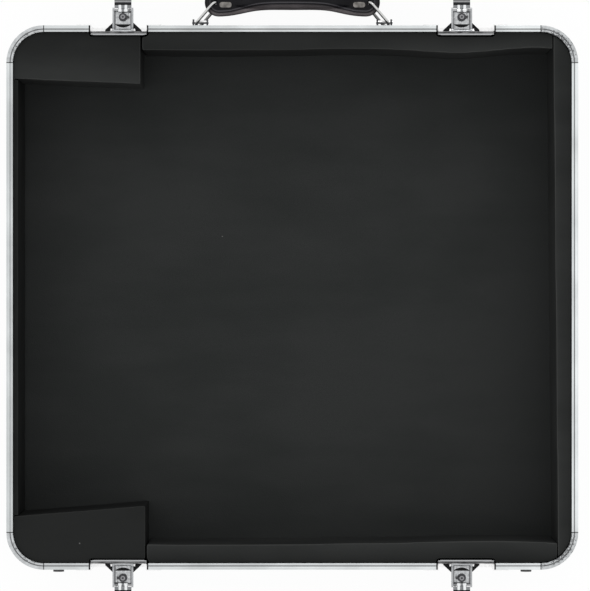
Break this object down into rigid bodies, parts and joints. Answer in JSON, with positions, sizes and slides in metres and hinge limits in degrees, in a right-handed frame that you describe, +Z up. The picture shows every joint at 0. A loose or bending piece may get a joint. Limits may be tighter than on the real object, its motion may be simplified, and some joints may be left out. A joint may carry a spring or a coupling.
{
  "type": "flight case",
  "caption": "Open base of an aluminium-edged mixer flight case with foam lining, swinging latch levers with key locks and a carrying handle.",
  "frame": {"origin": "on the surface that the feet stand on, under the middle of the case", "axes": "+Z up, out of the open case; +Y towards the handle; +X to the right when looking down with the handle at the top"},
  "size_m": [0.5222, 0.5798, 0.111],
  "materials": {
    "board": "black laminate on thin board",
    "aluminium": "bright brushed extrusion",
    "corner_aluminium": "matte bent extrusion",
    "steel": "zinc plated",
    "chrome": "chrome plated",
    "dark_steel": "dark plated",
    "foam": "closed-cell foam",
    "rubber": "moulded rubber",
    "stop_plastic": "moulded black plastic",
    "grip": "black leather-look"
  },
  "bodies": {
    "case": {"floor_panel": "board", "front_wall": "board", "back_wall": "board", "left_wall": "board", "right_wall": "board", "rim_rail_left": "aluminium", "rim_rail_right": "aluminium", "rim_rails_front": "aluminium", "rim_rails_back": "aluminium", "base_rails": "aluminium", "corner_posts": "aluminium", "rim_corners": "corner_aluminium", "base_corners": "corner_aluminium", "rivets": "steel", "foot_screws": "steel", "latch_hinge_pins": "steel", "handle_bracket_bars": "steel", "underside_feet": "rubber", "standing_feet": "rubber", "floor_foam": "foam", "front_foam_strip": "foam", "back_foam_strip": "foam", "right_foam_strip": "foam", "left_foam_lining": "foam", "front_left_foam_block": "foam", "back_left_foam_block": "foam", "handle_brackets": "dark_steel", "latch_stops": "stop_plastic", "latch_pan_front_left": "chrome", "latch_pan_front_right": "chrome", "latch_pan_back_left": "chrome", "latch_pan_back_right": "chrome"},
    "lever_front_left": {"latch_lever_front_left": "chrome", "lock_housing_front_left": "dark_steel", "hook_pin_front_left": "steel", "hook_spring_front_left": "steel"},
    "hook_front_left": {"latch_hook_front_left": "dark_steel"},
    "lock_front_left": {"lock_plug_front_left": "steel"},
    "lever_front_right": {"latch_lever_front_right": "chrome", "lock_housing_front_right": "dark_steel", "hook_pin_front_right": "steel", "hook_spring_front_right": "steel"},
    "hook_front_right": {"latch_hook_front_right": "dark_steel"},
    "lock_front_right": {"lock_plug_front_right": "steel"},
    "lever_back_left": {"latch_lever_back_left": "chrome", "lock_housing_back_left": "dark_steel", "hook_pin_back_left": "steel", "hook_spring_back_left": "steel"},
    "hook_back_left": {"latch_hook_back_left": "dark_steel"},
    "lock_back_left": {"lock_plug_back_left": "steel"},
    "lever_back_right": {"latch_lever_back_right": "chrome", "lock_housing_back_right": "dark_steel", "hook_pin_back_right": "steel", "hook_spring_back_right": "steel"},
    "hook_back_right": {"latch_hook_back_right": "dark_steel"},
    "lock_back_right": {"lock_plug_back_right": "steel"},
    "handle": {"handle_ring_left": "chrome", "handle_ring_right": "chrome", "handle_grip": "grip", "handle_end_plates": "chrome"}
  },
  "joints": [
    {"name": "latch_front_left_swing", "type": "hinge", "parent": "case", "child": "lever_front_left", "pos_m": [-0.1553, 0.2439, 0.083], "axis": [1, 0, 0], "range_deg": [0, 90]},
    {"name": "latch_front_right_swing", "type": "hinge", "parent": "case", "child": "lever_front_right", "pos_m": [0.1553, 0.2439, 0.083], "axis": [1, 0, 0], "range_deg": [0, 90]},
    {"name": "latch_back_left_swing", "type": "hinge", "parent": "case", "child": "lever_back_left", "pos_m": [-0.1553, -0.2439, 0.083], "axis": [-1, 0, 0], "range_deg": [0, 90]},
    {"name": "latch_back_right_swing", "type": "hinge", "parent": "case", "child": "lever_back_right", "pos_m": [0.1553, -0.2439, 0.083], "axis": [-1, 0, 0], "range_deg": [0, 90]},
    {"name": "hook_front_left_swing", "type": "hinge", "parent": "lever_front_left", "child": "hook_front_left", "pos_m": [-0.1553, 0.2631, 0.0825], "axis": [1, 0, 0], "range_deg": [-20, 0], "stiffness_Nm_per_rad": 0.04, "springref_deg": 17.19},
    {"name": "hook_front_right_swing", "type": "hinge", "parent": "lever_front_right", "child": "hook_front_right", "pos_m": [0.1553, 0.2631, 0.0825], "axis": [1, 0, 0], "range_deg": [-20, 0], "stiffness_Nm_per_rad": 0.04, "springref_deg": 17.19},
    {"name": "hook_back_left_swing", "type": "hinge", "parent": "lever_back_left", "child": "hook_back_left", "pos_m": [-0.1553, -0.2631, 0.0825], "axis": [-1, 0, 0], "range_deg": [-20, 0], "stiffness_Nm_per_rad": 0.04, "springref_deg": 17.19},
    {"name": "hook_back_right_swing", "type": "hinge", "parent": "lever_back_right", "child": "hook_back_right", "pos_m": [0.1553, -0.2631, 0.0825], "axis": [-1, 0, 0], "range_deg": [-20, 0], "stiffness_Nm_per_rad": 0.04, "springref_deg": 17.19},
    {"name": "lock_front_left_turn", "type": "hinge", "parent": "lever_front_left", "child": "lock_front_left", "pos_m": [-0.1553, 0.2571, 0.083], "axis": [0, 0, 1], "range_deg": [0, 90]},
    {"name": "lock_front_right_turn", "type": "hinge", "parent": "lever_front_right", "child": "lock_front_right", "pos_m": [0.1553, 0.2571, 0.083], "axis": [0, 0, 1], "range_deg": [0, 90]},
    {"name": "lock_back_left_turn", "type": "hinge", "parent": "lever_back_left", "child": "lock_back_left", "pos_m": [-0.1553, -0.2571, 0.083], "axis": [0, 0, 1], "range_deg": [0, 90]},
    {"name": "lock_back_right_turn", "type": "hinge", "parent": "lever_back_right", "child": "lock_back_right", "pos_m": [0.1553, -0.2571, 0.083], "axis": [0, 0, 1], "range_deg": [0, 90]},
    {"name": "handle_swing", "type": "hinge", "parent": "case", "child": "handle", "pos_m": [0, 0.2546, 0.055], "axis": [1, 0, 0], "range_deg": [-65, 75]}
  ]
}
